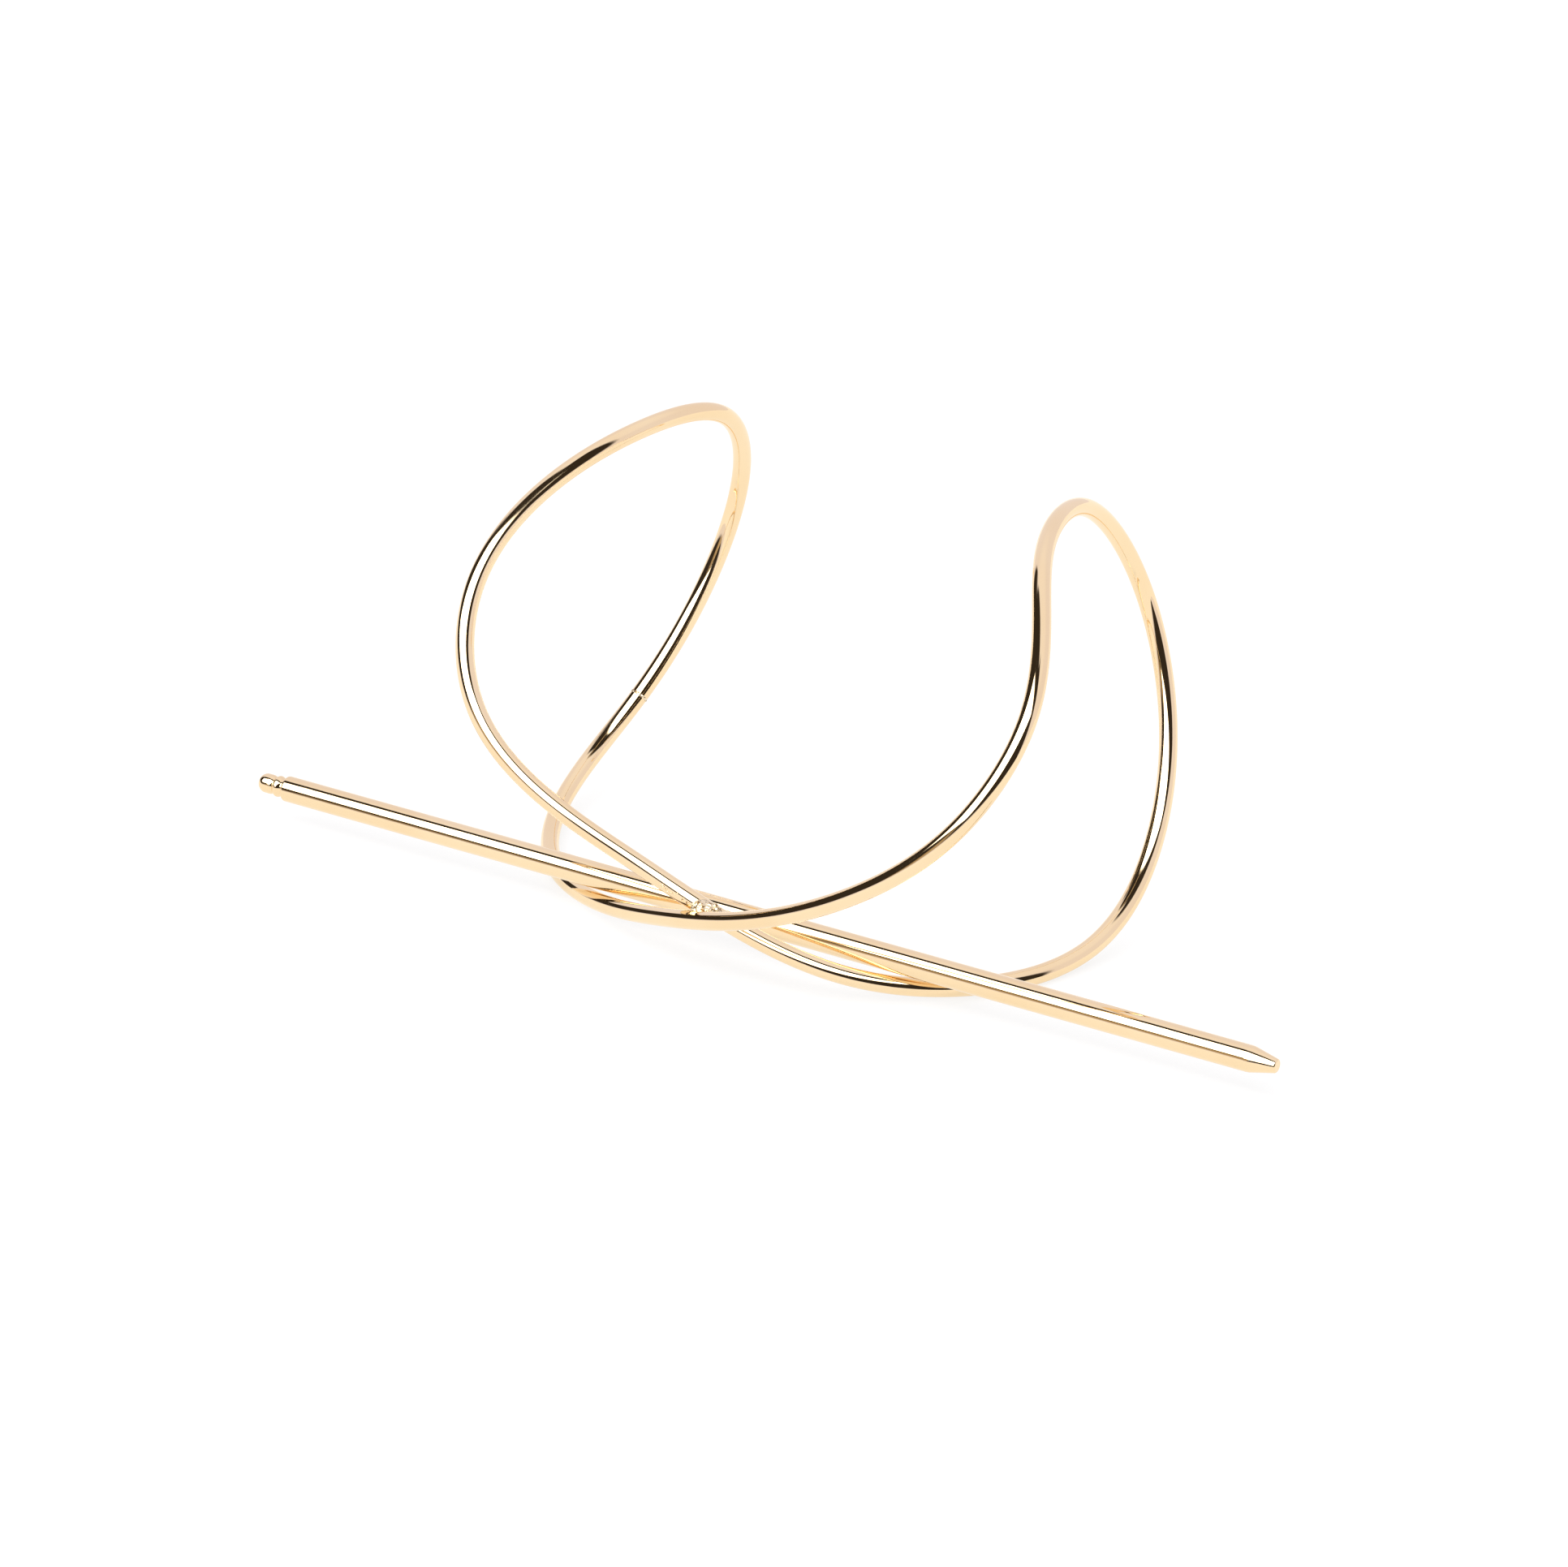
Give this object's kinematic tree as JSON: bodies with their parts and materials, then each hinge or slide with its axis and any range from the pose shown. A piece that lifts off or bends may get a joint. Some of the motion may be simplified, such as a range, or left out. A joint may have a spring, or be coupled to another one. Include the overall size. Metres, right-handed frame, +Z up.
{
  "type": "hair bun cuff with stick",
  "caption": "Bent wire hair-bun cuff: a figure-eight loop curved into an arch and soldered where it crosses, with a straight turned stick passed through both of its loops.",
  "frame": {"origin": "middle of the bounding box's footprint, on the table the cuff lies on", "axes": "+X along the stick from its headed end to its coned end, +Z up as it lies on its side, +Y from the crossing towards the ends of the two loops"},
  "size_m": [0.1526, 0.0684, 0.0583],
  "materials": {
    "polished_wire": "polished pale gold",
    "polished_rod": "polished pale gold",
    "solder": "rough, plated over"
  },
  "bodies": {
    "cuff": {"cuff_wire": "polished_wire", "butt_seam": "solder", "crossing_solder": "solder"},
    "stick": {"stick": "polished_rod"}
  },
  "joints": [
    {"name": "stick_slide", "type": "slide", "parent": "cuff", "child": "stick", "axis": [1, 0, 0], "range_m": [-0.1, 0.035]}
  ]
}
